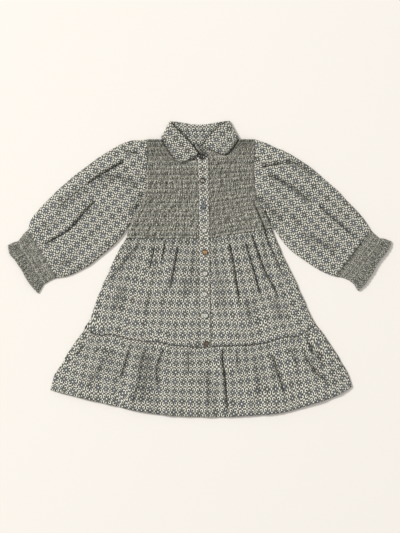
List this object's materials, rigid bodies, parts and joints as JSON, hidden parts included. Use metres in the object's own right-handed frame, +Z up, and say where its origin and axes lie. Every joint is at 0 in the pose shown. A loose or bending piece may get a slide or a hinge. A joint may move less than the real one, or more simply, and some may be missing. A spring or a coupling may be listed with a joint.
{
  "type": "dress",
  "caption": "Shirt dress with smocked bodice and cuffs, turned-down collar, button placket, long sleeves and a gathered hem tier, lying flat, in a small flower print",
  "frame": {"origin": "centre of the bounding box in plan, on the surface the dress lies on", "axes": "X across the dress from the sleeve at the picture's left to the one at its right, Y from the hem up to the collar, Z up out of the cloth"},
  "size_m": [0.767, 0.592, 0.0072],
  "materials": {
    "printed_cotton": "matt",
    "button_dark": "polished",
    "button_slate": "polished",
    "button_gold": "polished",
    "button_pale": "polished"
  },
  "bodies": {
    "root": {"back_bodice": "printed_cotton", "back_skirt": "printed_cotton", "back_tier": "printed_cotton", "collar_fall": "printed_cotton", "collar_stand": "printed_cotton", "cuff_left": "printed_cotton", "cuff_right": "printed_cotton", "front_bodice_left": "printed_cotton", "front_bodice_right": "printed_cotton", "front_skirt_left": "printed_cotton", "front_skirt_right": "printed_cotton", "front_tier": "printed_cotton", "placket": "printed_cotton", "sleeve_left": "printed_cotton", "sleeve_right": "printed_cotton", "button_1": "button_dark", "button_2": "button_dark", "button_3": "button_slate", "button_4": "button_pale", "button_5": "button_gold", "button_6": "button_pale", "button_7": "button_pale", "button_8": "button_pale", "button_9": "button_gold"}
  },
  "joints": []
}
